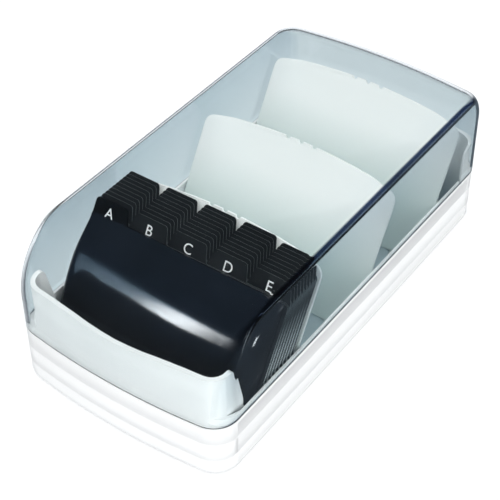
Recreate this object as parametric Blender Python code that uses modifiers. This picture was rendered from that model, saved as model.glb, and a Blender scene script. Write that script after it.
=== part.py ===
"""Desk card file: grooved tray, hinged clear lid, leaning block, tabbed index guides, sliding dividers.

Metres, +Z up, front towards -Y. The origin is the middle of the footprint, on the surface under the feet.
"""

import math

import bmesh
import bpy
from mathutils import Matrix, Vector

MM = 0.001

# Overall size
HALF_WIDTH = 54.0 * MM
HALF_LENGTH = 108.0 * MM
CORNER_RADIUS = 11.8 * MM
FRONT_BULGE = 4.25 * MM
REAR_BULGE = 4.8 * MM
GAP = 0.3 * MM
# How far a cutter runs past the surface that it cuts
OVERCUT = 2.0 * MM

# Tray
TRAY_BOTTOM = 0.6 * MM
TRAY_TOP = 28.2 * MM
TRAY_FLOOR = 2.6 * MM
TRAY_BOTTOM_RADIUS = 2.4 * MM
BAND_HEIGHTS = (9.2 * MM, 18.8 * MM)
BAND_DEPTH = 0.45 * MM
BAND_HALF_WIDTH = 0.5 * MM
TOP_EDGE_BEVEL = 0.3 * MM
PANEL_DEPTH = 0.35 * MM
PANEL_FRONT, PANEL_REAR = -94.0 * MM, 93.0 * MM
PANEL_BOTTOM = 3.8 * MM
PANEL_TOP = TRAY_TOP - 1.2 * MM

# Rim and upright walls that stand inside the lid
WALL_INSET = 2.0 * MM
WALL_THICKNESS = 1.0 * MM
REAR_WALL_INSET = 4.9 * MM
FRONT_WALL_INSET = 4.5 * MM
END_WALL_THICKNESS = 2.0 * MM
WALL_CORNER_RADIUS = 9.6 * MM
RIM_TOP = 30.2 * MM
REAR_WALL_TOP = 46.5 * MM
REAR_RETURN_Y = 86.0 * MM
REAR_RETURN_SLOPE = 1.0 * MM
REAR_RETURN_RADIUS = 5.0 * MM
NOTCH_WIDTH = 1.6 * MM
NOTCH_DEPTH = 0.8 * MM
FRONT_WALL_CENTRE_TOP = 48.8 * MM
FRONT_WALL_CORNER_TOP = 51.5 * MM
FRONT_DIP_HALF = 34.0 * MM
FRONT_RETURN_Y = -85.6 * MM
FRONT_RETURN_PEAK_Y = -90.0 * MM
FRONT_RETURN_LOW = TRAY_TOP + 4.0 * MM
FRONT_RETURN_RADII = (12.0 * MM, 3.0 * MM)
FRONT_OUTER_RADIUS = 8.5 * MM
FRONT_INNER_RADIUS = 6.5 * MM
FRONT_LEDGE_INSET = 2.5 * MM
FRONT_LEDGE_LOW = 25.5 * MM
FRONT_LEDGE_TOP = 27.6 * MM

# Lid
LID_BOTTOM = 28.6 * MM
LID_TOP = 74.0 * MM
LID_WALL = 1.6 * MM
LID_DRAFT = 0.7 * MM
LID_FRONT_RADIUS = 30.0 * MM
LID_REAR_RADIUS = 15.0 * MM
LID_SIDE_RADIUS = 3.5 * MM
LID_TOP_CORNER_RADIUS = 9.5 * MM

# Lid hinges, behind the tray
HINGE_Y = HALF_LENGTH + 2.8 * MM
HINGE_Z = 28.4 * MM
HINGE_CENTRES = {"left": -30.0 * MM, "right": 30.0 * MM}
KNUCKLE_RADIUS = 2.4 * MM
KNUCKLE_HOLE_RADIUS = 1.25 * MM
PIN_RADIUS = 0.9 * MM
LID_KNUCKLE_HALF = 3.0 * MM
TRAY_KNUCKLE_OUTER = 7.5 * MM
WEB_DEPTH = 5.2 * MM
WEB_HEIGHT = 2.1 * MM
WEB_SHOULDER = 0.2 * MM
PIN_INSET = 0.2 * MM

# Plates that lean back in the tray
LEAN = math.radians(30.0)
PLATE_FOOT_Z = TRAY_FLOOR + 0.45 * MM
GUIDE_COUNT = 48
GUIDE_THICKNESS = 0.25 * MM
GUIDE_FIRST_Y = -87.4 * MM
GUIDE_PITCH_Y = 0.454 * MM
GUIDE_HALF_WIDTH = 50.0 * MM
GUIDE_SHOULDER = 64.1 * MM
GUIDE_CORNER = 1.6 * MM
TAB_COLUMNS = 5
TAB_PITCH = 20.0 * MM
TAB_TOP_HALF = 8.0 * MM
TAB_HEIGHT = 7.5 * MM
TAB_CORNER = 1.6 * MM

# Dividers
DIVIDER_FOOT_YS = (-62.9 * MM, -5.5 * MM, 51.1 * MM)
DIVIDER_THICKNESS = 1.4 * MM
DIVIDER_HALF_WIDTH = 50.3 * MM
DIVIDER_SIDE_HEIGHT = 66.0 * MM
DIVIDER_CROWN = 4.2 * MM
DIVIDER_CORNER = 5.0 * MM
CROWN_STATIONS = (36.0 * MM, 26.0 * MM, 16.0 * MM)
CORNER_SWEEP = math.radians(78.0)
NOTCH_PITCH = 7.0 * MM
NOTCH_RADIUS = 1.3 * MM
FLANGE_LENGTH = 12.0 * MM
FLANGE_THICKNESS = 1.2 * MM
FLANGE_HALF_WIDTH = 46.0 * MM

# Front block: heights run up its leaning back face, depths stand forward of it
BLOCK_HALF_WIDTH = 48.8 * MM
BLOCK_END_RADIUS = 6.0 * MM
BLOCK_BACK_Y = GUIDE_FIRST_Y - 0.75 * MM
BLOCK_PROFILE = (
    (0.0, 6.5 * MM),
    (10.0 * MM, 9.0 * MM),
    (24.0 * MM, 10.4 * MM),
    (36.0 * MM, 10.9 * MM),
    (43.0 * MM, 10.6 * MM),
    (48.0 * MM, 9.7 * MM),
    (52.5 * MM, 7.9 * MM),
    (57.0 * MM, 5.4 * MM),
    (61.0 * MM, 3.1 * MM),
    (64.6 * MM, 1.2 * MM),
)
BLOCK_TAB_THICKNESS = 1.2 * MM

# Feet
FOOT_RADIUS = 5.0 * MM
FOOT_HEIGHT = 1.1 * MM
FOOT_X, FOOT_Y = 38.0 * MM, 86.0 * MM

WHITE = (0.93, 0.94, 0.94, 1.0)
PEARL = (0.80, 0.84, 0.83, 1.0)
SMOKE = (0.60, 0.66, 0.72, 1.0)
BLACK = (0.012, 0.014, 0.018, 1.0)
CHARCOAL = (0.03, 0.035, 0.04, 1.0)
STEEL = (0.62, 0.63, 0.65, 1.0)
RUBBER = (0.08, 0.08, 0.085, 1.0)


def clear_scene():
    for obj in list(bpy.data.objects):
        bpy.data.objects.remove(obj, do_unlink=True)


def new_collection(name):
    collection = bpy.data.collections.new(name)
    bpy.context.scene.collection.children.link(collection)
    return collection


def material(name, colour, roughness, metallic=0.0, transmission=0.0):
    mat = bpy.data.materials.new(name)
    mat.use_nodes = True
    shader = mat.node_tree.nodes["Principled BSDF"]
    shader.inputs["Base Color"].default_value = colour
    shader.inputs["Roughness"].default_value = roughness
    shader.inputs["Metallic"].default_value = metallic
    shader.inputs["Transmission Weight"].default_value = transmission
    return mat


def arc(centre, radius, start, end, steps):
    """Points on a circle from angle start to angle end, in radians, with both ends."""
    points = []
    for i in range(steps + 1):
        angle = start + (end - start) * i / steps
        points.append((centre[0] + radius * math.cos(angle), centre[1] + radius * math.sin(angle)))
    return points


def bulged_end(half_width, radius, bulge, corner_steps, bulge_steps):
    """Right half of an end that bows to -Y from (0, 0), as points from the middle to the side."""
    bow = (half_width**2 + bulge**2) / (2.0 * bulge)
    rise = math.sqrt((bow - radius) ** 2 - (half_width - radius) ** 2)
    corner = (half_width - radius, bow - rise)
    start = math.atan2(corner[1] - bow, corner[0])
    middle = arc((0.0, bow), bow, -math.pi / 2, start, bulge_steps)
    return middle[:-1] + arc(corner, radius, start, 0.0, corner_steps)


def footprint(half_width, front, rear, radius, corner_steps=5, bulge_steps=3):
    """Closed outline with rounded corners and bowed ends, counter-clockwise from the front's middle."""
    share = (half_width / HALF_WIDTH) ** 2
    near = bulged_end(half_width, radius, FRONT_BULGE * share, corner_steps, bulge_steps)
    far = bulged_end(half_width, radius, REAR_BULGE * share, corner_steps, bulge_steps)
    right = [(x, front + y) for x, y in near] + [(x, rear - y) for x, y in reversed(far)]
    left = [(-x, y) for x, y in reversed(right[1:-1])]
    return right + left


def add_object(name, mesh, collection, mat=None):
    obj = bpy.data.objects.new(name, mesh)
    collection.objects.link(obj)
    if mat is not None:
        mesh.materials.append(mat)
    return obj


def loft(name, rings, collection, mat=None, caps=(True, True)):
    """Skins closed rings of 3-D points that all have the same count, bottom ring first."""
    bm = bmesh.new()
    rows = [[bm.verts.new(point) for point in ring] for ring in rings]
    count = len(rows[0])
    for lower, upper in zip(rows, rows[1:]):
        for i in range(count):
            j = (i + 1) % count
            bm.faces.new((lower[i], lower[j], upper[j], upper[i]))
    if caps[0]:
        bm.faces.new(list(reversed(rows[0])))
    if caps[1]:
        bm.faces.new(rows[-1])
    mesh = bpy.data.meshes.new(name)
    bm.to_mesh(mesh)
    bm.free()
    return add_object(name, mesh, collection, mat)


def ring_at(outline, z):
    return [(x, y, z) for x, y in outline]


def smooth(obj, degrees=35.0):
    obj.data.shade_smooth()
    obj.data.set_sharp_from_angle(angle=math.radians(degrees))


def box(name, low, high, collection):
    bm = bmesh.new()
    size = [h - l for l, h in zip(low, high)]
    middle = [(h + l) / 2 for l, h in zip(low, high)]
    place = Matrix.Translation(middle) @ Matrix.Diagonal((*size, 1.0))
    bmesh.ops.create_cube(bm, size=1.0, matrix=place)
    mesh = bpy.data.meshes.new(name)
    bm.to_mesh(mesh)
    bm.free()
    return add_object(name, mesh, collection)


def rod(name, centre, radius, length, axis, collection, mat=None, sides=20):
    """A cylinder about axis X or Z with its middle at centre."""
    bm = bmesh.new()
    turn = Matrix.Rotation(math.pi / 2, 4, "Y") if axis == "X" else Matrix.Identity(4)
    bmesh.ops.create_cone(
        bm, cap_ends=True, segments=sides, radius1=radius, radius2=radius, depth=length, matrix=turn
    )
    mesh = bpy.data.meshes.new(name)
    bm.to_mesh(mesh)
    bm.free()
    obj = add_object(name, mesh, collection, mat)
    obj.location = centre
    return obj


def prism(name, outline, across, thickness, collection, offset=0.0):
    """A flat outline given thickness along axis X or Y, its middle at offset on that axis."""
    bm = bmesh.new()
    start = offset - thickness / 2
    if across == "X":
        points = [(start, a, b) for a, b in outline]
        push = Vector((thickness, 0.0, 0.0))
    else:
        points = [(a, start, b) for a, b in outline]
        push = Vector((0.0, thickness, 0.0))
    face = bm.faces.new([bm.verts.new(point) for point in points])
    grown = bmesh.ops.extrude_face_region(bm, geom=[face])["geom"]
    bmesh.ops.translate(bm, vec=push, verts=[v for v in grown if isinstance(v, bmesh.types.BMVert)])
    bmesh.ops.recalc_face_normals(bm, faces=bm.faces)
    mesh = bpy.data.meshes.new(name)
    bm.to_mesh(mesh)
    bm.free()
    return add_object(name, mesh, collection)


def boolean(obj, other, operation, solver="EXACT"):
    other.hide_render = True
    other.display_type = "WIRE"
    modifier = obj.modifiers.new(f"{operation.lower()}_{other.name}", "BOOLEAN")
    modifier.operation = operation
    modifier.solver = solver
    modifier.object = other


def flat_plate(name, outline, thickness, collection, mat):
    """A plate in its own XY plane, as a filled 2-D curve."""
    curve = bpy.data.curves.new(name, "CURVE")
    curve.dimensions = "2D"
    curve.fill_mode = "BOTH"
    curve.extrude = thickness / 2
    spline = curve.splines.new("POLY")
    spline.points.add(len(outline) - 1)
    for point, (x, y) in zip(spline.points, outline):
        point.co = (x, y, 0.0, 1.0)
    spline.use_cyclic_u = True
    curve.materials.append(mat)
    obj = bpy.data.objects.new(name, curve)
    collection.objects.link(obj)
    return obj


def as_mesh(obj, collection):
    """Replaces a curve object by its welded mesh, at the same place."""
    bpy.context.view_layer.update()
    evaluated = obj.evaluated_get(bpy.context.evaluated_depsgraph_get())
    mesh = bpy.data.meshes.new_from_object(evaluated)
    bm = bmesh.new()
    bm.from_mesh(mesh)
    bmesh.ops.remove_doubles(bm, verts=bm.verts, dist=1e-6)
    bm.to_mesh(mesh)
    bm.free()
    name, place = obj.name, obj.matrix_world.copy()
    bpy.data.objects.remove(obj, do_unlink=True)
    solid = bpy.data.objects.new(name, mesh)
    collection.objects.link(solid)
    solid.matrix_world = place
    return solid


def round_corner(before, corner, after, radius, steps):
    """Points that round a corner of a polygon, tangent to both of its sides."""
    corner = Vector(corner)
    into = (Vector(before) - corner).normalized()
    out = (Vector(after) - corner).normalized()
    half = into.angle(out) / 2
    reach = radius / math.tan(half)
    centre = corner + (into + out).normalized() * (radius / math.sin(half))
    first = corner + into * reach - centre
    turn = into.angle_signed(out)
    sweep = math.copysign(math.pi - abs(turn), turn)
    points = []
    for i in range(steps + 1):
        points.append(tuple(centre + Matrix.Rotation(sweep * i / steps, 2) @ first))
    return points


def rounded_polygon(corners, steps=3):
    """corners holds (x, y, radius); a radius of 0 leaves the corner sharp."""
    points = []
    for i, (x, y, radius) in enumerate(corners):
        if radius == 0.0:
            points.append((x, y))
            continue
        before, after = corners[i - 1], corners[(i + 1) % len(corners)]
        points += round_corner(before[:2], (x, y), after[:2], radius, steps)
    return points


def lean_back(obj, foot_y, foot_z=PLATE_FOOT_Z):
    """Stands a plate's bottom edge at foot_y, leaning to the rear."""
    obj.location = (0.0, foot_y, foot_z)
    obj.rotation_euler = (math.pi / 2 - LEAN, 0.0, 0.0)


# --- tray ---


def tray_levels():
    """Height and inset of each ring of the tray's outside: round foot edge, two grooves, bevelled top."""
    radius = TRAY_BOTTOM_RADIUS
    levels = []
    for degrees in (0.0, 30.0, 60.0, 90.0):
        angle = math.radians(degrees)
        height = TRAY_BOTTOM + radius * (1.0 - math.cos(angle))
        levels.append((height, radius * (1.0 - math.sin(angle))))
    for height in BAND_HEIGHTS:
        levels.append((height - BAND_HALF_WIDTH, 0.0))
        levels.append((height, BAND_DEPTH))
        levels.append((height + BAND_HALF_WIDTH, 0.0))
    levels.append((TRAY_TOP - TOP_EDGE_BEVEL, 0.0))
    levels.append((TRAY_TOP, TOP_EDGE_BEVEL))
    return levels


def offset_footprint(inset):
    return footprint(
        HALF_WIDTH - inset, -HALF_LENGTH + inset, HALF_LENGTH - inset, CORNER_RADIUS - inset
    )


def wall_footprint(inset):
    """Outline of the rim: further in at the ends, where the lid swings past it, than at the sides."""
    end = REAR_WALL_INSET + inset * END_WALL_THICKNESS / WALL_THICKNESS
    side = WALL_INSET + inset
    return footprint(
        HALF_WIDTH - side, -HALF_LENGTH + end, HALF_LENGTH - end, WALL_CORNER_RADIUS - inset
    )


def side_cut_outline():
    """What is cleared above the tray, in the YZ plane: low side rims, tall rear wall, short returns."""
    notch_low = TRAY_TOP - NOTCH_DEPTH
    ceiling = LID_TOP
    return rounded_polygon(
        (
            (-HALF_LENGTH - OVERCUT, RIM_TOP, 0.0),
            (REAR_RETURN_Y - NOTCH_WIDTH, RIM_TOP, 0.0),
            (REAR_RETURN_Y - NOTCH_WIDTH, notch_low, 0.0),
            (REAR_RETURN_Y, notch_low, 0.0),
            (REAR_RETURN_Y + REAR_RETURN_SLOPE, REAR_WALL_TOP, REAR_RETURN_RADIUS),
            (HALF_LENGTH, REAR_WALL_TOP, 0.0),
            (HALF_LENGTH, ceiling, 0.0),
            (-HALF_LENGTH - OVERCUT, ceiling, 0.0),
        ),
        steps=4,
    )


def front_return_outline():
    """What is cleared behind the front wall, in the YZ plane: its returns slope up to the corners."""
    ceiling = LID_TOP
    low_radius, peak_radius = FRONT_RETURN_RADII
    return rounded_polygon(
        (
            (FRONT_RETURN_Y, FRONT_LEDGE_LOW - OVERCUT, 0.0),
            (FRONT_RETURN_Y, FRONT_RETURN_LOW, low_radius),
            (FRONT_RETURN_PEAK_Y, FRONT_WALL_CORNER_TOP, peak_radius),
            (-HALF_LENGTH, FRONT_WALL_CORNER_TOP, 0.0),
            (-HALF_LENGTH, ceiling, 0.0),
            (HALF_LENGTH, ceiling, 0.0),
            (HALF_LENGTH, FRONT_LEDGE_LOW - OVERCUT, 0.0),
        ),
        steps=4,
    )


def front_dip_outline():
    """What is cleared from the front wall, in the XZ plane: its top edge sags in the middle."""
    dip = FRONT_WALL_CORNER_TOP - FRONT_WALL_CENTRE_TOP
    steps = 10
    edge = []
    for i in range(steps + 1):
        share = -1.0 + 2.0 * i / steps
        height = FRONT_WALL_CENTRE_TOP + dip * math.sin(share * math.pi / 2) ** 2
        edge.append((FRONT_DIP_HALF * share, height))
    ceiling = LID_TOP
    return edge + [(FRONT_DIP_HALF, ceiling), (-FRONT_DIP_HALF, ceiling)]


def end_wall_footprint(inset, radius):
    """Outline that keeps one inset from the tray's outside, open to the rear half of the tray."""
    return footprint(HALF_WIDTH - inset, -HALF_LENGTH + inset, HALF_LENGTH / 2 + inset, radius)


def build_front_wall(cutters):
    """The tall curved wall inside the lid's front, on a ledge that joins it to the tray's sides."""
    top = FRONT_WALL_CORNER_TOP + OVERCUT
    outline = end_wall_footprint(FRONT_WALL_INSET, FRONT_OUTER_RADIUS)
    wall = loft("front_wall", [ring_at(outline, z) for z in (FRONT_LEDGE_LOW, top)], cutters)

    outline = end_wall_footprint(FRONT_LEDGE_INSET, WALL_CORNER_RADIUS)
    ledge_heights = (FRONT_LEDGE_LOW - WALL_THICKNESS / 2, FRONT_LEDGE_TOP)
    ledge = loft("front_ledge", [ring_at(outline, z) for z in ledge_heights], cutters)
    boolean(wall, ledge, "UNION")

    outline = end_wall_footprint(FRONT_WALL_INSET + END_WALL_THICKNESS, FRONT_INNER_RADIUS)
    hollow_heights = (FRONT_LEDGE_LOW - OVERCUT, top + OVERCUT)
    hollow = loft("front_hollow", [ring_at(outline, z) for z in hollow_heights], cutters)
    boolean(wall, hollow, "DIFFERENCE")

    returns = prism("front_returns", front_return_outline(), "X", 2.4 * HALF_WIDTH, cutters)
    boolean(wall, returns, "DIFFERENCE")
    middle = -HALF_LENGTH + FRONT_WALL_INSET
    depth = 5.0 * FRONT_BULGE
    dip = prism("front_dip", front_dip_outline(), "Y", depth, cutters, offset=middle)
    boolean(wall, dip, "DIFFERENCE")
    return wall


def build_tray(parts, cutters, mat):
    rings = [ring_at(offset_footprint(inset), height) for height, inset in tray_levels()]
    tray = loft("tray", rings, parts, mat)

    wall_top = REAR_WALL_TOP + OVERCUT
    wall_heights = (TRAY_FLOOR + WALL_THICKNESS, wall_top)
    wall_rings = [ring_at(wall_footprint(0.0), z) for z in wall_heights]
    boolean(tray, loft("wall_block", wall_rings, cutters), "UNION")

    hollow_heights = (TRAY_FLOOR, wall_top + OVERCUT)
    hollow_rings = [ring_at(wall_footprint(WALL_THICKNESS), z) for z in hollow_heights]
    boolean(tray, loft("tray_hollow", hollow_rings, cutters), "DIFFERENCE")

    side_cut = prism("side_cut", side_cut_outline(), "X", 2.4 * HALF_WIDTH, cutters)
    boolean(tray, side_cut, "DIFFERENCE")
    # The exact solver leaves open edges where the front wall crosses the tray's top face.
    boolean(tray, build_front_wall(cutters), "UNION", solver="MANIFOLD")

    for side in (-1, 1):
        surface = side * (HALF_WIDTH - PANEL_DEPTH)
        outside = side * (HALF_WIDTH + OVERCUT)
        low = (min(surface, outside), PANEL_FRONT, PANEL_BOTTOM)
        high = (max(surface, outside), PANEL_REAR, PANEL_TOP)
        boolean(tray, box(f"panel_{side}", low, high, cutters), "DIFFERENCE")

    for x in (-FOOT_X, FOOT_X):
        for y in (-FOOT_Y, FOOT_Y):
            centre = (x, y, 0.0)
            seat_height = 2 * (FOOT_HEIGHT + GAP)
            seat = rod("foot_seat", centre, FOOT_RADIUS + GAP, seat_height, "Z", cutters, sides=24)
            boolean(tray, seat, "DIFFERENCE")

    knuckle_length = TRAY_KNUCKLE_OUTER - LID_KNUCKLE_HALF - GAP
    for x in HINGE_CENTRES.values():
        for side in (-1, 1):
            middle = x + side * (LID_KNUCKLE_HALF + GAP + knuckle_length / 2)
            add_knuckle(tray, middle, knuckle_length, HINGE_Z - GAP - WEB_HEIGHT, HINGE_Z - GAP, cutters)
    drill_hinges(tray, cutters)
    smooth(tray, 25.0)
    return tray


# --- hinge parts ---


def add_knuckle(body, middle, length, web_low, web_high, cutters):
    """A barrel on the hinge axis and the web that carries it, joined to a body's rear wall."""
    half = length / 2 - WEB_SHOULDER
    low = (middle - half, HINGE_Y - WEB_DEPTH, web_low)
    high = (middle + half, HINGE_Y, web_high)
    boolean(body, box("knuckle_web", low, high, cutters), "UNION")
    barrel = rod("knuckle_barrel", (middle, HINGE_Y, HINGE_Z), KNUCKLE_RADIUS, length, "X", cutters)
    boolean(body, barrel, "UNION")


def drill_hinges(body, cutters):
    for x in HINGE_CENTRES.values():
        centre = (x, HINGE_Y, HINGE_Z)
        length = 2 * (TRAY_KNUCKLE_OUTER + GAP)
        bore = rod("hinge_bore", centre, KNUCKLE_HOLE_RADIUS, length, "X", cutters)
        boolean(body, bore, "DIFFERENCE")


def build_hinge_pins(parts, mat):
    for side, x in HINGE_CENTRES.items():
        length = 2 * (TRAY_KNUCKLE_OUTER - PIN_INSET)
        centre = (x, HINGE_Y, HINGE_Z)
        smooth(rod(f"hinge_pin_{side}", centre, PIN_RADIUS, length, "X", parts, mat, sides=16))


# --- lid ---


def arc_inset(height, radius, top=LID_TOP):
    """How far a wall has turned in at a height, where a quarter round of that radius ends at the top."""
    rise = max(0.0, height - (top - radius))
    return radius - math.sqrt(max(0.0, radius**2 - rise**2))


def lid_ring(height):
    draft = LID_DRAFT * (height - LID_BOTTOM) / (LID_TOP - LID_BOTTOM)
    front = -HALF_LENGTH + draft + arc_inset(height, LID_FRONT_RADIUS)
    rear = HALF_LENGTH - draft - arc_inset(height, LID_REAR_RADIUS)
    turned_in = arc_inset(height, LID_SIDE_RADIUS)
    side = HALF_WIDTH - draft - turned_in
    share = (height - LID_BOTTOM) / (LID_TOP - LID_BOTTOM)
    corner = CORNER_RADIUS + (LID_TOP_CORNER_RADIUS - CORNER_RADIUS) * share
    return ring_at(footprint(side, front, rear, corner), height)


def build_lid(parts, cutters, mat):
    start = LID_TOP - LID_FRONT_RADIUS
    heights = [LID_BOTTOM, start]
    for degrees in (18.0, 34.0, 48.0, 59.0, 66.5, 73.0, 79.0, 84.5):
        heights.append(start + LID_FRONT_RADIUS * math.sin(math.radians(degrees)))
    heights.append(LID_TOP)
    lid = loft("lid", [lid_ring(height) for height in heights], parts, mat, caps=(False, True))

    shell = lid.modifiers.new("wall", "SOLIDIFY")
    shell.thickness = LID_WALL
    shell.offset = -1.0
    shell.use_even_offset = True
    for x in HINGE_CENTRES.values():
        length = 2 * LID_KNUCKLE_HALF
        add_knuckle(lid, x, length, HINGE_Z + GAP, HINGE_Z + GAP + WEB_HEIGHT, cutters)
    drill_hinges(lid, cutters)

    # The origin moves to the hinge axis without moving the shell.
    axis = Vector((0.0, HINGE_Y, HINGE_Z))
    lid.data.transform(Matrix.Translation(-axis))
    lid.location = axis
    smooth(lid, 35.0)
    return lid


# --- index guides and dividers ---


def guide_outline(column):
    """A card guide with one tab, in the plate's own plane, its bottom edge on the X axis."""
    middle = (column - (TAB_COLUMNS - 1) / 2) * TAB_PITCH
    left, right = middle - TAB_PITCH / 2, middle + TAB_PITCH / 2
    top = GUIDE_SHOULDER + TAB_HEIGHT
    half = GUIDE_HALF_WIDTH
    corners = [(-half, 0.0, GUIDE_CORNER), (half, 0.0, GUIDE_CORNER)]
    if column < TAB_COLUMNS - 1:
        corners += [(half, GUIDE_SHOULDER, GUIDE_CORNER), (right, GUIDE_SHOULDER, TAB_CORNER / 2)]
    corners.append((middle + TAB_TOP_HALF, top, TAB_CORNER))
    corners.append((middle - TAB_TOP_HALF, top, TAB_CORNER))
    if column > 0:
        corners += [(left, GUIDE_SHOULDER, TAB_CORNER / 2), (-half, GUIDE_SHOULDER, GUIDE_CORNER)]
    if column == 0:
        corners.append((-half, GUIDE_SHOULDER, 0.0))
    if column == TAB_COLUMNS - 1:
        corners.insert(2, (half, GUIDE_SHOULDER, 0.0))
    return rounded_polygon(corners)


def build_guides(parts, mat):
    for number in range(1, GUIDE_COUNT + 1):
        name = f"index_guide_{number:02d}"
        guide = flat_plate(name, guide_outline(number % TAB_COLUMNS), GUIDE_THICKNESS, parts, mat)
        lean_back(guide, GUIDE_FIRST_Y + (number - 1) * GUIDE_PITCH_Y)


def crown_height(x):
    """Top edge of a divider: highest in the middle."""
    return DIVIDER_SIDE_HEIGHT + DIVIDER_CROWN * (1.0 - (x / DIVIDER_HALF_WIDTH) ** 2)


def divider_outline():
    """A divider plate with a crowned top, rounded corners and three half-round notches in the middle."""
    half, corner = DIVIDER_HALF_WIDTH, DIVIDER_CORNER
    points = [(-half, 0.0), (half, 0.0)]
    points += arc((half - corner, DIVIDER_SIDE_HEIGHT - corner), corner, 0.0, CORNER_SWEEP, 5)
    for x in CROWN_STATIONS:
        points.append((x, crown_height(x)))
    for notch in (1, 0, -1):
        centre = notch * NOTCH_PITCH
        points += arc((centre, crown_height(centre)), NOTCH_RADIUS, 0.0, -math.pi, 6)
    for x in reversed(CROWN_STATIONS):
        points.append((-x, crown_height(x)))
    middle = (-half + corner, DIVIDER_SIDE_HEIGHT - corner)
    points += arc(middle, corner, math.pi - CORNER_SWEEP, math.pi, 5)
    return points


def build_dividers(parts, cutters, mat):
    for number, foot_y in enumerate(DIVIDER_FOOT_YS, start=1):
        plate = flat_plate(f"divider_{number}", divider_outline(), DIVIDER_THICKNESS, parts, mat)
        lean_back(plate, foot_y)
        plate = as_mesh(plate, parts)
        low = (-FLANGE_HALF_WIDTH, foot_y, TRAY_FLOOR + GAP)
        high = (FLANGE_HALF_WIDTH, foot_y + FLANGE_LENGTH, TRAY_FLOOR + GAP + FLANGE_THICKNESS)
        boolean(plate, box(f"flange_{number}", low, high, cutters), "UNION")


# --- front block ---


def block_point(x, height, depth):
    """A place on the block from its height up the back face and its depth in front of that face."""
    y = BLOCK_BACK_Y + height * math.sin(LEAN) - depth * math.cos(LEAN)
    z = PLATE_FOOT_Z + height * math.cos(LEAN) + depth * math.sin(LEAN)
    return (x, y, z)


def block_stations(half_width, end_radius, steps=6):
    """Distances from the middle and how full the block is there: it rounds off towards both ends."""
    deepest = max(depth for _, depth in BLOCK_PROFILE)
    stations = []
    for i in range(steps + 1):
        angle = math.radians(90.0) * (1.0 - i / steps)
        x = half_width - end_radius + end_radius * math.sin(angle)
        stations.append((x, 1.0 - (1.0 - math.cos(angle)) * end_radius / deepest))
    return [(-x, full) for x, full in stations] + [(x, full) for x, full in reversed(stations)]


def build_block(parts, cutters, mat):
    bottom, top = BLOCK_PROFILE[0][0], BLOCK_PROFILE[-1][0]
    rings = []
    for x, full in block_stations(BLOCK_HALF_WIDTH, BLOCK_END_RADIUS):
        ring = [block_point(x, bottom, 0.0), block_point(x, top, 0.0)]
        ring += [block_point(x, height, depth * full) for height, depth in reversed(BLOCK_PROFILE)]
        rings.append(ring)
    block = loft("front_block", rings, parts, mat)
    tab = flat_plate("block_tab", guide_outline(0), BLOCK_TAB_THICKNESS, cutters, mat)
    lean_back(tab, BLOCK_BACK_Y)
    tab = as_mesh(tab, cutters)
    tab.location.y -= BLOCK_TAB_THICKNESS / 2 * math.cos(LEAN)
    tab.location.z += BLOCK_TAB_THICKNESS / 2 * math.sin(LEAN)
    boolean(block, tab, "UNION")
    smooth(block, 30.0)
    return block


# --- feet ---


def build_feet(parts, mat):
    for end, y in (("front", -FOOT_Y), ("rear", FOOT_Y)):
        for side, x in (("left", -FOOT_X), ("right", FOOT_X)):
            centre = (x, y, FOOT_HEIGHT / 2)
            name = f"foot_{end}_{side}"
            smooth(rod(name, centre, FOOT_RADIUS, FOOT_HEIGHT, "Z", parts, mat, sides=24))


def centre_footprint(*collections):
    """Moves everything so that the hinges' overhang is shared between the front and the rear."""
    overhang = HINGE_Y + KNUCKLE_RADIUS - HALF_LENGTH
    for collection in collections:
        for obj in collection.objects:
            obj.location.y -= overhang / 2


def main():
    clear_scene()
    parts = new_collection("card_file")
    cutters = new_collection("cutters")
    build_tray(parts, cutters, material("tray_white", WHITE, 0.35))
    build_lid(parts, cutters, material("lid_smoke", SMOKE, 0.06, transmission=0.9))
    build_hinge_pins(parts, material("pin_steel", STEEL, 0.3, metallic=1.0))
    build_block(parts, cutters, material("block_black", BLACK, 0.12))
    build_guides(parts, material("guide_charcoal", CHARCOAL, 0.5))
    build_dividers(parts, cutters, material("divider_pearl", PEARL, 0.4))
    build_feet(parts, material("foot_rubber", RUBBER, 0.8))
    centre_footprint(parts, cutters)


main()
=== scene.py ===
"""The desk card file's looks: its visible pieces, materials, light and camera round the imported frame.

Metres, +Z up, the front faces -Y, as in the frame.
"""

import math

import bmesh
import bpy
from mathutils import Matrix, Vector


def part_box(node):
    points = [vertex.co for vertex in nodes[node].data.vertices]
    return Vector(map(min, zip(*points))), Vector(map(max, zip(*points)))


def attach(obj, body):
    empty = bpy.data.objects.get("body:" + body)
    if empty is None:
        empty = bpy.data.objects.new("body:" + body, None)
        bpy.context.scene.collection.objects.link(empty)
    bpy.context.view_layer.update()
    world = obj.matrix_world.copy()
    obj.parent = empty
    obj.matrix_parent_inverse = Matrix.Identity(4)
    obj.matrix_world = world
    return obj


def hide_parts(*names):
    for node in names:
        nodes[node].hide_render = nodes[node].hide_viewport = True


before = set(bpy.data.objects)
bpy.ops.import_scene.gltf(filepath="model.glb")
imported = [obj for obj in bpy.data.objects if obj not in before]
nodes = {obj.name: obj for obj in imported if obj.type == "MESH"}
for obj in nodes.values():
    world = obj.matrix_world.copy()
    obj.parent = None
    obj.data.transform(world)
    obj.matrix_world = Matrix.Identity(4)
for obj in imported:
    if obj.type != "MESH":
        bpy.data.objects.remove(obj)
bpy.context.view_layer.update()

MM = 0.001
X_AXIS, Y_AXIS, Z_AXIS = (1.0, 0.0, 0.0), (0.0, 1.0, 0.0), (0.0, 0.0, 1.0)

# The tray's middle, which the hinges' overhang moves forward of the origin
HALF_LENGTH = 108.0 * MM
CENTRE_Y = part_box("tray")[0].y + HALF_LENGTH

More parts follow.
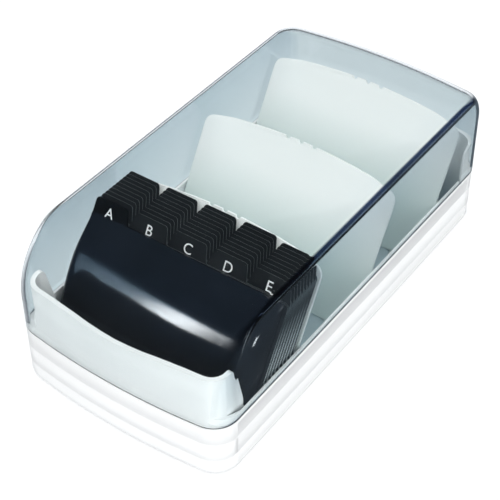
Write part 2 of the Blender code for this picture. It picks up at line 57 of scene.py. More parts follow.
# Lid, with its hinge measured from the tray's middle
HALF_WIDTH = 54.0 * MM
CORNER_RADIUS = 11.8 * MM
FRONT_BULGE = 4.25 * MM
REAR_BULGE = 4.8 * MM
LID_BOTTOM = 28.6 * MM
LID_TOP = 74.0 * MM
LID_WALL = 1.6 * MM
LID_DRAFT = 0.7 * MM
LID_FRONT_RADIUS = 30.0 * MM
LID_REAR_RADIUS = 15.0 * MM
LID_SIDE_RADIUS = 3.5 * MM
LID_TOP_CORNER_RADIUS = 9.5 * MM
LID_TOP_INSET = 0.8 * MM
LID_WALL_STEPS = 3
LID_TURN_STEPS = 30
CORNER_STEPS = 12
BULGE_STEPS = 10
HINGE_Y = HALF_LENGTH + 2.8 * MM
HINGE_Z = 28.4 * MM
HINGE_X = 30.0 * MM
GAP = 0.3 * MM
KNUCKLE_RADIUS = 2.4 * MM
KNUCKLE_HOLE_RADIUS = 1.25 * MM
LID_KNUCKLE_HALF = 3.0 * MM
WEB_DEPTH = 5.2 * MM
WEB_HEIGHT = 2.1 * MM
WEB_SHOULDER = 0.2 * MM
ROD_SIDES = 36

# Leaning plates, and the tab that each guide and the block carry in one of five columns. The angle at
# which a tab's corner starts is in radians.
LEAN = math.radians(30.0)
PLATE_FOOT_Z = 3.05 * MM
GUIDE_FIRST_Y = -87.4 * MM
GUIDE_PITCH_Y = 0.454 * MM
GUIDE_THICKNESS = 0.25 * MM
GUIDE_SHOULDER = 64.1 * MM
MIDDLE_COLUMN = 2
TAB_PITCH = 20.0 * MM
TAB_TOP_HALF = 8.0 * MM
TAB_HEIGHT = 7.5 * MM
TAB_ROOT = 2.6 * MM
TAB_CORNER = 1.6 * MM
TAB_CORNER_INSET = 0.75 * TAB_CORNER
TAB_CORNER_START = 0.1
TAB_CORNER_STEPS = 8
TAB_SIDE_INSET = 1.4 * MM

# Front block, its profile as places up the plate and forward of it
BLOCK_HALF_WIDTH = 48.8 * MM
BLOCK_END_RADIUS = 6.0 * MM
BLOCK_END_STEPS = 14
BLOCK_PROFILE_STEPS = 5
BLOCK_BACK_Y = GUIDE_FIRST_Y - 0.75 * MM
BLOCK_TAB_COLUMN = 0
BLOCK_TAB_BACK = 0.02 * MM
BLOCK_TAB_THICKNESS = 1.2 * MM
BLOCK_PROFILE = (
    (0.0, 6.5 * MM),
    (10.0 * MM, 9.0 * MM),
    (24.0 * MM, 10.4 * MM),
    (36.0 * MM, 10.9 * MM),
    (43.0 * MM, 10.6 * MM),
    (48.0 * MM, 9.7 * MM),
    (52.5 * MM, 7.9 * MM),
    (57.0 * MM, 5.4 * MM),
    (61.0 * MM, 3.1 * MM),
    (64.6 * MM, 1.2 * MM),
)

# Widths of the rounded edges
LID_EDGE = 0.3 * MM
TAB_EDGE = 0.18 * MM
DIVIDER_EDGE = 0.28 * MM
FOOT_EDGE = 0.25 * MM
PIN_EDGE = 0.15 * MM

# Edges that turn by more than this many degrees are rounded, or stay sharp in the shading
ROUNDED_ABOVE = 50.0
LID_ROUNDED_ABOVE = 60.0
SHARP_ABOVE = 40.0
TRAY_SHARP_ABOVE = 27.0
LID_SHARP_ABOVE = 32.0
BLOCK_SHARP_ABOVE = 38.0
TAB_SHARP_ABOVE = 20.0

# CAD corners closer than this are one corner, and faces that turn by less are one face
WELD_DISTANCE = 0.002 * MM
FLAT_ANGLE = math.radians(0.4)

# Index letters
LETTERS = "ABCDE"
LETTER_SIZE = 6.6 * MM
LETTER_HEIGHT_UP_PLATE = 66.3 * MM
LETTER_RELIEF = 0.03 * MM
LETTER_STEPS = 6

# Where the tray's moulding gets painted shade as its inside
INNER_HALF_WIDTH = 51.6 * MM
INNER_HALF_LENGTH = 98.0 * MM

# Spacing of the sheets whose cut edges get a painted highlight in the pack's side
HIGHLIGHT_STRIPE_SPACING = 6.0 * GUIDE_PITCH_Y

# Heights between which a colour comes or goes: painted shade inside the tray and at the dividers' feet,
# the lid sides' tint and painted shade, the lid's rim line, and the guides' painted edge highlight
INNER_SHADE_FADE = (8.0 * MM, 30.0 * MM)
LID_WALL_FADE = (35.0 * MM, LID_TOP)
LID_RIM_FADE = (LID_BOTTOM + 0.5 * MM, LID_BOTTOM + 1.0 * MM)
HIGHLIGHT_STRIPE_FADE = (38.0 * MM, 52.0 * MM)
TAB_HIGHLIGHT_FADE = (50.0 * MM, 58.0 * MM)
DIVIDER_SHADE_FADE = (22.0 * MM, 48.0 * MM)

# The studio's colour as it meets the camera and matt surfaces, matt surfaces under the lid, the camera
# through the lid, and glossy surfaces
STUDIO_WHITE = (0.95, 0.955, 0.96)
LIGHT_INTO_LID = (2.58, 2.59, 2.54)
THROUGH_LID = (0.70, 0.775, 0.80)
IN_GLOSS = (0.06, 0.074, 0.088)

# The floor, with a painted reflection: glossy surfaces see it as a dark card with a white one behind and
# to the left
FLOOR_HALF_SIZE = 4.0
FLOOR_GLOW = 0.2
PAINTED_DARK_REFLECTION = (0.09, 0.11, 0.13)
PAINTED_WHITE_REFLECTION = (0.95, 0.97, 1.0)
REFLECTION_RIGHT_FADE = (-0.03, 0.03)
REFLECTION_FRONT_FADE = (-0.12, -0.06)

# Lamps
LAMP_AIM = Vector((0.0, -0.05, 0.045))
LAMP_DISTANCE = 0.9
LAMP_WHITE = (1.0, 1.0, 1.0)
GLOW_BLUE = (0.55, 0.78, 1.0)
FADE_BLUE = (0.50, 0.75, 1.0)

# The photograph's camera, its angles in degrees and its lens in millimetres
CAMERA_PLACE = (0.2594115, -0.3733802, 0.4302189)
CAMERA_AZIMUTH = 35.7353
CAMERA_ELEVATION = 42.1169
CAMERA_ROLL = -0.3019
CAMERA_LENS = 96.72
SENSOR_WIDTH = 36.0
CLIP_START = 0.02
CLIP_END = 20.0

# Sockets of a colour mix node, whose names repeat for its other data types
MIX_FIRST, MIX_SECOND, MIX_RESULT = 6, 7, 2


# --- node trees ---


def mix_colours(tree, factor, first, second):
    """The output of a new node that mixes two colours, each a tuple or another node's output."""
    node = tree.nodes.new("ShaderNodeMix")
    node.data_type = "RGBA"
    tree.links.new(factor, node.inputs["Factor"])
    for index, colour in ((MIX_FIRST, first), (MIX_SECOND, second)):
        if isinstance(colour, tuple):
            node.inputs[index].default_value = (*colour, 1.0)
        else:
            tree.links.new(colour, node.inputs[index])
    return node.outputs[MIX_RESULT]


class Tree:
    """Builds one material's node tree in few words. Most methods return a node's output."""

    def __init__(self, name):
        self.material = bpy.data.materials.new(name)
        self.material.use_nodes = True
        self.tree = self.material.node_tree
        self.tree.nodes.clear()
        self.output = self.add("ShaderNodeOutputMaterial")
        coordinates = self.add("ShaderNodeTexCoord")
        self.place = coordinates.outputs["Object"]
        self.facing = coordinates.outputs["Normal"]

    def add(self, kind, **settings):
        node = self.tree.nodes.new(kind)
        for key, value in settings.items():
            setattr(node, key, value)
        return node

    def link(self, source, target):
        self.tree.links.new(source, target)

    def noise(self, scale, detail=3.0, stretch=(1.0, 1.0, 1.0)):
        """Noise that rides with the piece, at a scale per metre."""
        mapping = self.add("ShaderNodeMapping")
        mapping.inputs["Scale"].default_value = stretch
        self.link(self.place, mapping.inputs["Vector"])
        node = self.add("ShaderNodeTexNoise")
        node.inputs["Scale"].default_value = scale
        node.inputs["Detail"].default_value = detail
        self.link(mapping.outputs["Vector"], node.inputs["Vector"])
        return node.outputs["Fac"]

    def spread(self, value, low, high, start=0.3, end=0.7):
        """Low to high, as a value goes from start to end."""
        node = self.add("ShaderNodeMapRange")
        node.inputs["From Min"].default_value = start
        node.inputs["From Max"].default_value = end
        node.inputs["To Min"].default_value = low
        node.inputs["To Max"].default_value = high
        self.link(value, node.inputs["Value"])
        return node.outputs["Result"]

    def along(self, vector, direction):
        """How far a vector reaches in a direction."""
        node = self.add("ShaderNodeVectorMath", operation="DOT_PRODUCT")
        self.link(vector, node.inputs[0])
        node.inputs[1].default_value = direction
        return node.outputs["Value"]

    def math(self, operation, first, second=None):
        node = self.add("ShaderNodeMath", operation=operation)
        for socket, value in zip(node.inputs, (first, second)):
            if isinstance(value, float):
                socket.default_value = value
            elif value is not None:
                self.link(value, socket)
        return node.outputs["Value"]

    def mix(self, factor, first, second):
        return mix_colours(self.tree, factor, first, second)

    def wander(self, noise, first, second):
        """A colour that goes from one to another with a noise."""
        return self.mix(self.spread(noise, 0.0, 1.0), first, second)

    def bump(self, height, strength, distance):
        node = self.add("ShaderNodeBump")
        node.inputs["Strength"].default_value = strength
        node.inputs["Distance"].default_value = distance
        self.link(height, node.inputs["Height"])
        return node.outputs["Normal"]

    def principled(self, colour, roughness, normal, **numbers):
        """A surface with some sockets set, which are named with underscores for their spaces."""
        node = self.add("ShaderNodeBsdfPrincipled")
        self.link(colour, node.inputs["Base Color"])
        self.link(roughness, node.inputs["Roughness"])
        self.link(normal, node.inputs["Normal"])
        for key, value in numbers.items():
            node.inputs[key.replace("_", " ")].default_value = value
        return node.outputs["BSDF"]

    def finish(self, shader):
        self.link(shader, self.output.inputs["Surface"])
        return self.material


def moulded_white():
    """Fine-textured white moulding with a soft sheen, and painted shade that greys it the deeper it lies
    inside the tray.
    """
    painted_shade = (0.36, 0.45, 0.48)
    t = Tree("tray_white")
    cloud = t.noise(28.0)
    grain = t.noise(2600.0, detail=2.0)
    outside = t.wander(cloud, (0.88, 0.892, 0.895), (0.91, 0.918, 0.92))
    sideways = t.math("ABSOLUTE", t.along(t.place, X_AXIS))
    lengthways = t.math("ABSOLUTE", t.along(t.place, Y_AXIS))
    within = t.math("LESS_THAN", sideways, INNER_HALF_WIDTH)
    within = t.math("MULTIPLY", within, t.math("LESS_THAN", lengthways, INNER_HALF_LENGTH))
    # Painted shade: the moulding greys inside the tray's walls, fully low down and fading out towards the
    # rim.
    depth = t.spread(t.along(t.place, Z_AXIS), 1.0, 0.0, *INNER_SHADE_FADE)
    inside = t.math("MULTIPLY", within, depth)
    colour = t.mix(inside, outside, painted_shade)
    rough = t.spread(grain, 0.30, 0.42)
    normal = t.bump(grain, 0.10, 0.04 * MM)
    return t.finish(t.principled(colour, rough, normal, IOR=1.5))


def clear_smoke():
    """Polished clear plastic with a cool smoke tint, and painted shade in deep blue along its rounded top
    edge on the +X side.

    The sides darken towards the top, partly as smoke tint and partly as painted shade of the shadowed
    tray seen through them.
    They have a dark line along their rim. Lamps shine through it.
    """
    slanting = (0.62, 0.68, 0.72)
    wall_low, wall_top_tint_and_shade = (0.88, 0.92, 0.935), (0.63, 0.71, 0.76)
    rim_line, painted_dark_edge = (0.12, 0.15, 0.19), (0.022, 0.038, 0.095)
    lamplight = (0.965, 0.975, 0.98)
    t = Tree("lid_smoke")
    flow = t.noise(9.0, detail=1.0, stretch=(1.0, 0.35, 1.0))
    speck = t.noise(420.0, detail=2.0)
    # Painted shade: deep blue along the rounded top edge on the +X side stands in for dark surroundings
    # refracted through it.
    sideways = t.along(t.facing, X_AXIS)
    upright = t.along(t.facing, Z_AXIS)
    turning = t.math("MULTIPLY", sideways, upright)
    edge = t.spread(turning, 0.0, 1.0, start=0.27, end=0.46)
    light = t.wander(flow, (0.925, 0.950, 0.955), (0.945, 0.965, 0.97))
    grazing = t.add("ShaderNodeLayerWeight")
    grazing.inputs["Blend"].default_value = 0.2
    clear = t.mix(grazing.outputs["Facing"], light, slanting)
    height = t.along(t.place, Z_AXIS)
    # Tint and painted shade: the side walls darken towards the top, standing in partly for the shadowed
    # tray behind them.
    side = t.spread(t.math("ABSOLUTE", sideways), 0.0, 1.0, start=0.6, end=0.98)
    wall = t.mix(t.spread(height, 0.0, 1.0, *LID_WALL_FADE), wall_low, wall_top_tint_and_shade)
    clear = t.mix(side, clear, wall)
    rim = t.spread(height, 1.0, 0.0, *LID_RIM_FADE)
    clear = t.mix(t.math("MULTIPLY", rim, side), clear, rim_line)
    colour = t.mix(edge, clear, painted_dark_edge)
    rough = t.spread(speck, 0.004, 0.010)
    normal = t.bump(flow, 0.05, 0.4 * MM)
    glass = t.principled(colour, rough, normal, Transmission_Weight=1.0, IOR=1.47)
    passing = t.add("ShaderNodeBsdfTransparent")
    passing.inputs["Color"].default_value = (*lamplight, 1.0)
    ray = t.add("ShaderNodeLightPath")
    mixed = t.add("ShaderNodeMixShader")
    t.link(ray.outputs["Is Shadow Ray"], mixed.inputs["Fac"])
    t.link(glass, mixed.inputs[1])
    t.link(passing.outputs["BSDF"], mixed.inputs[2])
    return t.finish(mixed.outputs["Shader"])


def polished_black():
    """Deep glossy blue-black moulding."""
    t = Tree("block_black")
    cloud = t.noise(40.0)
    speck = t.noise(1500.0, detail=2.0)
    wave = t.noise(60.0, detail=1.0)
    colour = t.wander(cloud, (0.0008, 0.0013, 0.0021), (0.0013, 0.0019, 0.0030))
    rough = t.spread(speck, 0.09, 0.12)
    normal = t.bump(wave, 0.03, 0.1 * MM)
    return t.finish(t.principled(colour, rough, normal, IOR=1.52, Specular_IOR_Level=0.08))


def satin_charcoal():
    """Black matt plastic sheet, with a painted highlight on its cut edges: stronger low down on some
    sheets, fainter on the tabs.
    """
    # Colour of the painted highlight on the sheets' cut edges
    painted_edge_highlight = (0.75, 0.83, 0.86)
    t = Tree("guide_charcoal")
    grain = t.noise(1900.0, detail=2.0)
    cloud = t.noise(55.0)
    faces = t.wander(cloud, (0.006, 0.008, 0.010), (0.010, 0.0125, 0.015))
    plate_face = (0.0, -math.cos(LEAN), math.sin(LEAN))
    # Painted highlight: cut edges catch light in stripes every few sheets, stronger lower down, and
    # faintly on the tabs.
    flatness = t.math("ABSOLUTE", t.along(t.facing, plate_face))
    edge = t.spread(flatness, 1.0, 0.0, start=0.3, end=0.8)
    spot = t.add("ShaderNodeNewGeometry").outputs["Position"]
    height = t.along(spot, Z_AXIS)
    foot = t.along(spot, (0.0, 1.0, -math.tan(LEAN)))
    turn = t.math("MULTIPLY", foot, 2.0 * math.pi / HIGHLIGHT_STRIPE_SPACING)
    highlight_stripe = t.spread(t.math("SINE", turn), 0.06, 1.0, start=-0.2, end=0.7)
    low = t.spread(height, 1.0, 0.0, *HIGHLIGHT_STRIPE_FADE)
    tab = t.spread(height, 0.0, 0.20, *TAB_HIGHLIGHT_FADE)
    edge_highlight = t.math("MULTIPLY", edge, t.math("MAXIMUM", t.math("MULTIPLY", highlight_stripe, low), tab))
    colour = t.mix(edge_highlight, faces, painted_edge_highlight)
    rough = t.spread(grain, 0.34, 0.46)
    normal = t.bump(grain, 0.12, 0.02 * MM)
    return t.finish(t.principled(colour, rough, normal, IOR=1.5))


def pearl_sheet():
    """Off-white plastic sheet, very slightly cool and cloudy, with painted shade that darkens it towards
    its foot.
    """
    painted_shade = (0.62, 0.71, 0.69)
    t = Tree("divider_pearl")
    cloud = t.noise(22.0, detail=2.0)
    grain = t.noise(2200.0, detail=2.0)
    colour = t.wander(cloud, (0.89, 0.905, 0.895), (0.91, 0.92, 0.91))
    # Painted shade: the sheet darkens towards its foot.
    low = t.spread(t.along(t.place, Z_AXIS), 1.0, 0.0, *DIVIDER_SHADE_FADE)
    colour = t.mix(low, colour, painted_shade)
    rough = t.spread(grain, 0.42, 0.54)
    normal = t.bump(grain, 0.10, 0.03 * MM)
    return t.finish(t.principled(colour, rough, normal, IOR=1.48))


def drawn_steel():
    """Bright wire with fine streaks along the pin."""
    t = Tree("pin_steel")
    streak = t.noise(900.0, detail=3.0, stretch=(0.08, 1.0, 1.0))
    colour = t.wander(streak, (0.50, 0.51, 0.53), (0.66, 0.67, 0.69))
    rough = t.spread(streak, 0.22, 0.38)
    normal = t.bump(streak, 0.25, 0.01 * MM)
    return t.finish(t.principled(colour, rough, normal, Metallic=1.0))


def dull_rubber():
    """Dark matt rubber."""
    t = Tree("foot_rubber")
    grain = t.noise(1500.0, detail=4.0)
    colour = t.wander(grain, (0.055, 0.055, 0.06), (0.085, 0.085, 0.09))
    rough = t.spread(grain, 0.7, 0.88)
    normal = t.bump(grain, 0.4, 0.04 * MM)
    return t.finish(t.principled(colour, rough, normal, IOR=1.5))


def white_print():
    """White ink, slightly uneven."""
    t = Tree("index_print")
    grain = t.noise(1800.0, detail=2.0)
    colour = t.wander(grain, (0.84, 0.85, 0.86), (0.90, 0.91, 0.91))
    rough = t.spread(grain, 0.5, 0.62)
    normal = t.bump(grain, 0.2, 0.01 * MM)
    return t.finish(t.principled(colour, rough, normal, IOR=1.5))


# --- shapes ---


def arc(centre, radius, start, end, steps):
    """Points on a circle from angle start to angle end, in radians, with both ends."""
    points = []
    for i in range(steps + 1):
        angle = start + (end - start) * i / steps
        points.append((centre[0] + radius * math.cos(angle), centre[1] + radius * math.sin(angle)))
    return points


def bulged_end(half_width, radius, bulge):
    """Right half of an end that bows to -Y from (0, 0), as points from the middle to the side."""
    bow = (half_width**2 + bulge**2) / (2.0 * bulge)
    rise = math.sqrt((bow - radius) ** 2 - (half_width - radius) ** 2)
    corner = (half_width - radius, bow - rise)
    start = math.atan2(corner[1] - bow, corner[0])
    middle = arc((0.0, bow), bow, -math.pi / 2, start, BULGE_STEPS)
    return middle[:-1] + arc(corner, radius, start, 0.0, CORNER_STEPS)


def footprint(half_width, front, rear, radius):
    """Closed outline with rounded corners and bowed ends, counter-clockwise from the front's middle."""
    share = (half_width / HALF_WIDTH) ** 2
    near = bulged_end(half_width, radius, FRONT_BULGE * share)
    far = bulged_end(half_width, radius, REAR_BULGE * share)
    right = [(x, front + y) for x, y in near] + [(x, rear - y) for x, y in reversed(far)]
    left = [(-x, y) for x, y in reversed(right[1:-1])]
    return right + left


def new_object(name, bm):
    """A scene object with the mesh built in bm, which is freed."""
    mesh = bpy.data.meshes.new(name)
    bm.to_mesh(mesh)
    bm.free()
    obj = bpy.data.objects.new(name, mesh)
    bpy.context.scene.collection.objects.link(obj)
    return obj


def loft(name, rings, caps=(True, True)):
    """Skins closed rings of 3-D points that all have the same count."""
    bm = bmesh.new()
    rows = [[bm.verts.new(point) for point in ring] for ring in rings]
    count = len(rows[0])
    for lower, upper in zip(rows, rows[1:]):
        for i in range(count):
            j = (i + 1) % count
            bm.faces.new((lower[i], lower[j], upper[j], upper[i]))
    if caps[0]:
        bm.faces.new(list(reversed(rows[0])))
    if caps[1]:
        bm.faces.new(rows[-1])
    bmesh.ops.recalc_face_normals(bm, faces=bm.faces)
    return new_object(name, bm)


def block(name, low, high):
    """A box between two corners."""
    bm = bmesh.new()
    size = [h - l for l, h in zip(low, high)]
    middle = [(h + l) / 2 for l, h in zip(low, high)]
    place = Matrix.Translation(middle) @ Matrix.Diagonal((*size, 1.0))
    bmesh.ops.create_cube(bm, size=1.0, matrix=place)
    return new_object(name, bm)


def rod_along_x(name, centre, radius, length):
    """A round rod with its middle at a point."""
    bm = bmesh.new()
    place = Matrix.Translation(centre) @ Matrix.Rotation(math.pi / 2, 4, "Y")
    size = {"radius1": radius, "radius2": radius, "depth": length}
    bmesh.ops.create_cone(bm, cap_ends=True, segments=ROD_SIDES, matrix=place, **size)
    return new_object(name, bm)


def boolean(obj, other, operation):
    """Joins another object to this one, or cuts it out, once the modifiers are applied."""
    modifier = obj.modifiers.new(operation.lower(), "BOOLEAN")
    modifier.operation = operation
    modifier.solver = "EXACT"
    modifier.object = other


def bevel(obj, width, degrees=ROUNDED_ABOVE):
    """Rounds the edges that turn by more than some degrees, once the modifiers are applied."""
    modifier = obj.modifiers.new("edges", "BEVEL")
    modifier.width = width
    modifier.segments = 2
    modifier.limit_method = "ANGLE"
    modifier.angle_limit = math.radians(degrees)
    modifier.miter_outer = "MITER_ARC"


def apply_modifiers(obj, *tools):
    """Replaces an object's mesh by what its modifiers make of it, and removes the objects they used."""
    bpy.context.view_layer.update()
    evaluated = obj.evaluated_get(bpy.context.evaluated_depsgraph_get())
    mesh = bpy.data.meshes.new_from_object(evaluated)
    obj.modifiers.clear()
    obj.data = mesh
    mesh.name = obj.name
    for tool in tools:
        bpy.data.objects.remove(tool, do_unlink=True)


def shade(obj, degrees):
    """Shades a piece smooth over the edges that turn by less than some degrees."""
    obj.data.shade_smooth()
    obj.data.set_sharp_from_angle(angle=math.radians(degrees))


def dress(obj, material, body, replaced=()):
    """Gives a new piece its material and body, and hides any CAD nodes that it stands for."""
    obj.data.materials.clear()
    obj.data.materials.append(material)
    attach(obj, body)
    if replaced:
        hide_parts(*replaced)


def welded_copy(node, name):
    """A copy of a CAD node's mesh with its split corners joined and its flat faces whole."""
    bm = bmesh.new()
    bm.from_mesh(nodes[node].data)
    bmesh.ops.remove_doubles(bm, verts=bm.verts, dist=WELD_DISTANCE)
    bmesh.ops.dissolve_limit(bm, angle_limit=FLAT_ANGLE, verts=bm.verts, edges=bm.edges)
    return new_object(name, bm)


def rounded_copy(node, name, edge, material, body):
    """A new piece that stands for a CAD node, with the same shape and rounded edges."""
    piece = welded_copy(node, name)
    bevel(piece, edge)
    apply_modifiers(piece)
    shade(piece, SHARP_ABOVE)
    dress(piece, material, body, [node])
    return piece


# --- lid ---


def arc_inset(height, radius):
    """How far a wall has turned in at a height, where a quarter round of that radius ends at the top."""
    rise = max(0.0, height - (LID_TOP - radius))
    return radius - math.sqrt(max(0.0, radius**2 - rise**2))


def lid_ring(height, further_in=0.0):
    """The lid's outline at a height."""
    share = (height - LID_BOTTOM) / (LID_TOP - LID_BOTTOM)
    draft = LID_DRAFT * share + further_in
    front = CENTRE_Y - HALF_LENGTH + draft + arc_inset(height, LID_FRONT_RADIUS)
    rear = CENTRE_Y + HALF_LENGTH - draft - arc_inset(height, LID_REAR_RADIUS)
    side = HALF_WIDTH - draft - arc_inset(height, LID_SIDE_RADIUS)
    corner = CORNER_RADIUS + (LID_TOP_CORNER_RADIUS - CORNER_RADIUS) * share
    return [(x, y, height) for x, y in footprint(side, front, rear, corner)]


def build_lid(material):
    """A shell skinned from outlines, closer together where its top rounds in, with two hinge knuckles."""
    start = LID_TOP - LID_FRONT_RADIUS
    heights = [LID_BOTTOM + (start - LID_BOTTOM) * i / LID_WALL_STEPS for i in range(LID_WALL_STEPS)]
    for i in range(LID_TURN_STEPS + 1):
        heights.append(start + LID_FRONT_RADIUS * math.sin(math.pi / 2 * i / LID_TURN_STEPS))
    rings = [lid_ring(height) for height in heights]
    rings.append(lid_ring(LID_TOP, further_in=LID_TOP_INSET))
    lid = loft("lid_shell", rings, caps=(False, True))
    shell = lid.modifiers.new("wall", "SOLIDIFY")
    shell.thickness = LID_WALL
    shell.offset = -1.0
    shell.use_even_offset = True
    bevel(lid, LID_EDGE, LID_ROUNDED_ABOVE)
    tools = []
    for x in (-HINGE_X, HINGE_X):
        axis = (x, CENTRE_Y + HINGE_Y, HINGE_Z)
        half = LID_KNUCKLE_HALF - WEB_SHOULDER
        low = (x - half, axis[1] - WEB_DEPTH, HINGE_Z + GAP)
        web = block("lid_web", low, (x + half, axis[1], HINGE_Z + GAP + WEB_HEIGHT))
        barrel = rod_along_x("lid_barrel", axis, KNUCKLE_RADIUS, 2 * LID_KNUCKLE_HALF)
        bore = rod_along_x("lid_bore", axis, KNUCKLE_HOLE_RADIUS, 4 * LID_KNUCKLE_HALF)
        boolean(lid, web, "UNION")
        boolean(lid, barrel, "UNION")
        boolean(lid, bore, "DIFFERENCE")
        tools += [web, barrel, bore]
    apply_modifiers(lid, *tools)
    shade(lid, LID_SHARP_ABOVE)
    dress(lid, material, "lid", ["lid"])


# --- front block ---


def plate_point(x, foot_y, up, forward):
    """A place on a leaning plate: up its face from its foot, and forward of that face."""
    y = CENTRE_Y + foot_y + up * math.sin(LEAN) - forward * math.cos(LEAN)
    z = PLATE_FOOT_Z + up * math.cos(LEAN) + forward * math.sin(LEAN)
    return (x, y, z)


def between(t, a, b, c, d):
    """A Catmull-Rom curve's value at a share t of the way from b to c."""
    square, cube = 2 * a - 5 * b + 4 * c - d, 3 * b - a - 3 * c + d
    return 0.5 * (2 * b + (c - a) * t + square * t**2 + cube * t**3)


def smooth_profile(points, steps):
    """A curve through the points, with steps between each pair."""
    ends = (points[0], *points, points[-1])
    curve = []
    for four in zip(ends, ends[1:], ends[2:], ends[3:]):
        for i in range(steps):
            curve.append(tuple(between(i / steps, *values) for values in zip(*four)))
    curve.append(points[-1])
    return curve


def column_x(column):
    """The middle of a column of tabs."""
    return (column - MIDDLE_COLUMN) * TAB_PITCH


def tab_outline(column):
    """A tab and the strip under it, in the plate's own plane."""
    middle = column_x(column)
    left, right = middle - TAB_PITCH / 2, middle + TAB_PITCH / 2
    low, top = GUIDE_SHOULDER - TAB_ROOT, GUIDE_SHOULDER + TAB_HEIGHT
    slope = (right - middle - TAB_TOP_HALF) / TAB_HEIGHT
    corner = (middle + TAB_TOP_HALF - TAB_CORNER_INSET, top - TAB_CORNER)
    left += TAB_SIDE_INSET
    points = [(left, low), (right + TAB_SIDE_INSET, low), (right, GUIDE_SHOULDER)]
    points.append((right - slope * (TAB_HEIGHT - TAB_CORNER), top - TAB_CORNER))
    points += arc(corner, TAB_CORNER, TAB_CORNER_START, math.pi / 2, TAB_CORNER_STEPS)
    mirror = [(2 * middle - x, y) for x, y in reversed(points[4:])]
    return points + mirror + [(left, GUIDE_SHOULDER)]


def build_block(material):
    """The block, skinned from its profile with both ends rounded, and its tab. Returns the block."""
    profile = smooth_profile(BLOCK_PROFILE, BLOCK_PROFILE_STEPS)
    deepest = max(depth for _, depth in profile)
    stations = []
    for i in range(BLOCK_END_STEPS + 1):
        angle = math.pi / 2 * (1.0 - i / BLOCK_END_STEPS)
        x = BLOCK_HALF_WIDTH - BLOCK_END_RADIUS * (1.0 - math.sin(angle))
        stations.append((x, 1.0 - (1.0 - math.cos(angle)) * BLOCK_END_RADIUS / deepest))
    stations = [(-x, full) for x, full in stations] + [(x, full) for x, full in reversed(stations)]
    bottom, top = BLOCK_PROFILE[0][0], BLOCK_PROFILE[-1][0]
    rings = []
    for x, full in stations:
        ring = [plate_point(x, BLOCK_BACK_Y, bottom, 0.0), plate_point(x, BLOCK_BACK_Y, top, 0.0)]
        ring += [plate_point(x, BLOCK_BACK_Y, up, depth * full) for up, depth in reversed(profile)]
        rings.append(ring)
    body = loft("block_shell", rings)
    shade(body, BLOCK_SHARP_ABOVE)
    dress(body, material, "tray", ["front_block"])

    outline = tab_outline(BLOCK_TAB_COLUMN)
    sides = [
        [plate_point(x, BLOCK_BACK_Y, up, forward) for x, up in outline]
        for forward in (BLOCK_TAB_BACK, BLOCK_TAB_THICKNESS)
    ]
    tab = loft("block_tab", sides)
    bevel(tab, TAB_EDGE)
    apply_modifiers(tab)
    shade(tab, TAB_SHARP_ABOVE)
    dress(tab, material, "tray")
    return body


# --- tray, dividers, feet, pins, guides ---


def build_tray(material):
    """The tray's CAD shape, shaded smooth over its curves."""
    tray = welded_copy("tray", "tray_shell")
    shade(tray, TRAY_SHARP_ABOVE)
    dress(tray, material, "tray", ["tray"])
    return tray


def build_dividers(material):
    plates = []
    for number in (1, 2, 3):
        node = f"divider_{number}"
        plates.append(rounded_copy(node, f"{node}_plate", DIVIDER_EDGE, material, node))
    return plates


def build_feet(material):
    for end in ("front", "rear"):
        for side in ("left", "right"):
            node = f"foot_{end}_{side}"
            rounded_copy(node, f"{node}_pad", FOOT_EDGE, material, "tray")


def build_pins(material):
    for side in ("left", "right"):
        node = f"hinge_pin_{side}"
        rounded_copy(node, f"{node}_rod", PIN_EDGE, material, "tray")


def dress_guides(material):
    """The guides show their CAD surface."""
    for name, node in nodes.items():
        if name.startswith("index_guide_"):
            node.data.materials.clear()
            node.data.materials.append(material)


def build_letters(material):
    """One generic index letter, printed in white, on each of the five front tabs."""
    lean = Matrix.Rotation(math.pi / 2 - LEAN, 4, "X")
    for column, letter in enumerate(LETTERS):
        text = bpy.data.curves.new(f"index_letter_{letter}", "FONT")
        text.body = letter
        text.size = LETTER_SIZE
        text.align_x = "CENTER"
        text.align_y = "CENTER"
        text.extrude = LETTER_RELIEF / 2
        text.resolution_u = LETTER_STEPS
        obj = bpy.data.objects.new(f"index_letter_{letter}", text)
        bpy.context.scene.collection.objects.link(obj)
        if column == BLOCK_TAB_COLUMN:
            foot_y, forward, body = BLOCK_BACK_Y, BLOCK_TAB_THICKNESS, "tray"
        else:
            foot_y = GUIDE_FIRST_Y + (column - 1) * GUIDE_PITCH_Y
            forward, body = GUIDE_THICKNESS / 2, f"index_guide_{column:02d}"
        forward += LETTER_RELIEF / 2
        spot = plate_point(column_x(column), foot_y, LETTER_HEIGHT_UP_PLATE, forward)
        obj.matrix_world = Matrix.Translation(spot) @ lean
        bpy.context.view_layer.update()
        evaluated = obj.evaluated_get(bpy.context.evaluated_depsgraph_get())
        mesh = bpy.data.meshes.new_from_object(evaluated)
        mesh.transform(obj.matrix_world)
        bpy.data.objects.remove(obj, do_unlink=True)
        piece = bpy.data.objects.new(f"index_letter_{letter}", mesh)
        bpy.context.scene.collection.objects.link(piece)
        dress(piece, material, body)


# --- floor, light and camera ---


def outward(azimuth, elevation):
    """A unit vector from the object, by angles in degrees. Azimuth 0 is the front and 90 the +X side."""
    a, e = math.radians(azimuth), math.radians(elevation)
    return Vector((math.sin(a) * math.cos(e), -math.cos(a) * math.cos(e), math.sin(e)))


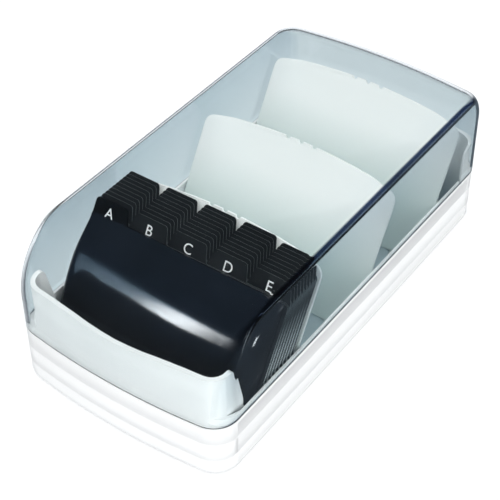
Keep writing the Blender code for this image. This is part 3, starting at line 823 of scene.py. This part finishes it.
def build_floor():
    """A white floor, cool grey where it is seen through the lid, and painted as two studio cards where
    glossy surfaces reflect it.
    """
    bm = bmesh.new()
    bmesh.ops.create_grid(bm, x_segments=1, y_segments=1, size=FLOOR_HALF_SIZE)
    floor = new_object("floor", bm)
    t = Tree("floor_white")
    cloud = t.noise(1.2, detail=1.0)
    white = t.mix(cloud, (0.96, 0.965, 0.97), (0.97, 0.972, 0.975))
    ray = t.add("ShaderNodeLightPath")
    colour = t.mix(ray.outputs["Is Transmission Ray"], white, THROUGH_LID)
    # Painted reflection: glossy rays see the floor as a dark card, white behind and to the left.
    left = t.spread(t.along(t.place, X_AXIS), 1.0, 0.0, *REFLECTION_RIGHT_FADE)
    behind = t.spread(t.along(t.place, Y_AXIS), 0.0, 1.0, *REFLECTION_FRONT_FADE)
    painted_reflection = t.mix(t.math("MULTIPLY", left, behind), PAINTED_DARK_REFLECTION, PAINTED_WHITE_REFLECTION)
    colour = t.mix(ray.outputs["Glossy Depth"], colour, painted_reflection)
    rough = t.spread(cloud, 0.8, 0.9)
    normal = t.bump(cloud, 0.01, 0.1 * MM)
    shader = t.principled(colour, rough, normal, Specular_IOR_Level=0.0, Emission_Strength=FLOOR_GLOW)
    t.link(colour, shader.node.inputs["Emission Color"])
    floor.data.materials.append(t.finish(shader))


def build_world():
    """Studio white on matt surfaces, a darker room in reflections, and cool grey through the lid."""
    world = bpy.data.worlds.new("studio")
    bpy.context.scene.world = world
    world.use_nodes = True
    tree = world.node_tree
    ray = tree.nodes.new("ShaderNodeLightPath").outputs
    on_matt = mix_colours(tree, ray["Is Transmission Ray"], STUDIO_WHITE, LIGHT_INTO_LID)
    seen = mix_colours(tree, ray["Is Transmission Ray"], STUDIO_WHITE, THROUGH_LID)
    seen = mix_colours(tree, ray["Glossy Depth"], seen, IN_GLOSS)
    colour = mix_colours(tree, ray["Diffuse Depth"], seen, on_matt)
    tree.links.new(colour, tree.nodes["Background"].inputs["Color"])


def softbox(name, away, size, power, lit, tint=LAMP_WHITE, distance=LAMP_DISTANCE):
    """A rectangular lamp in some direction from the object, which lights only the pieces in lit."""
    lamp = bpy.data.lights.new(name, "AREA")
    lamp.shape = "RECTANGLE"
    lamp.size, lamp.size_y = size
    lamp.energy = power
    lamp.color = tint
    lamp.cycles.use_multiple_importance_sampling = False
    obj = bpy.data.objects.new(name, lamp)
    obj.location = LAMP_AIM + away * distance
    obj.rotation_euler = away.to_track_quat("Z", "Y").to_euler()
    bpy.context.scene.collection.objects.link(obj)
    receivers = bpy.data.collections.new(f"{name}_lights")
    for piece in lit:
        receivers.objects.link(piece)
    obj.light_linking.receiver_collection = receivers


def build_lights(body, tray, dividers):
    """Three lamps make the block's band, which is brightest at its right end, and one its corner spot."""
    softbox("band", outward(-26.0, 16.8), (0.08, 0.21), 18.0, [body])
    softbox("glow", outward(-31.0, 17.5), (0.20, 0.30), 9.0, [body], GLOW_BLUE)
    softbox("fade", outward(-46.0, 21.0), (0.24, 0.40), 6.5, [body], FADE_BLUE)
    softbox("corner", outward(31.0, 36.0), (0.14, 0.28), 24.0, [body])
    softbox("front", outward(45.0, 25.0), (0.50, 0.40), 2.8, [tray], distance=1.0)
    softbox("key", outward(0.0, 62.0), (0.50, 0.50), 1.6, dividers, distance=1.0)


def build_camera():
    """The photograph's camera, which looks along its own angles."""
    back = outward(CAMERA_AZIMUTH, CAMERA_ELEVATION)
    right = outward(CAMERA_AZIMUTH + 90.0, 0.0)
    turn = Matrix.Rotation(math.radians(CAMERA_ROLL), 3, back)
    right, up = turn @ right, turn @ back.cross(right)
    camera = bpy.data.objects.new("camera", bpy.data.cameras.new("camera"))
    place = Matrix((right, up, back)).transposed().to_4x4()
    place.translation = CAMERA_PLACE
    camera.matrix_world = place
    camera.data.lens = CAMERA_LENS
    camera.data.sensor_width = SENSOR_WIDTH
    camera.data.clip_start = CLIP_START
    camera.data.clip_end = CLIP_END
    bpy.context.scene.collection.objects.link(camera)
    bpy.context.scene.camera = camera


def main():
    tray = build_tray(moulded_white())
    build_lid(clear_smoke())
    body = build_block(polished_black())
    dress_guides(satin_charcoal())
    dividers = build_dividers(pearl_sheet())
    build_pins(drawn_steel())
    build_feet(dull_rubber())
    build_letters(white_print())
    build_floor()
    build_world()
    build_lights(body, tray, dividers)
    build_camera()
    bpy.context.scene.view_settings.view_transform = "Standard"


main()
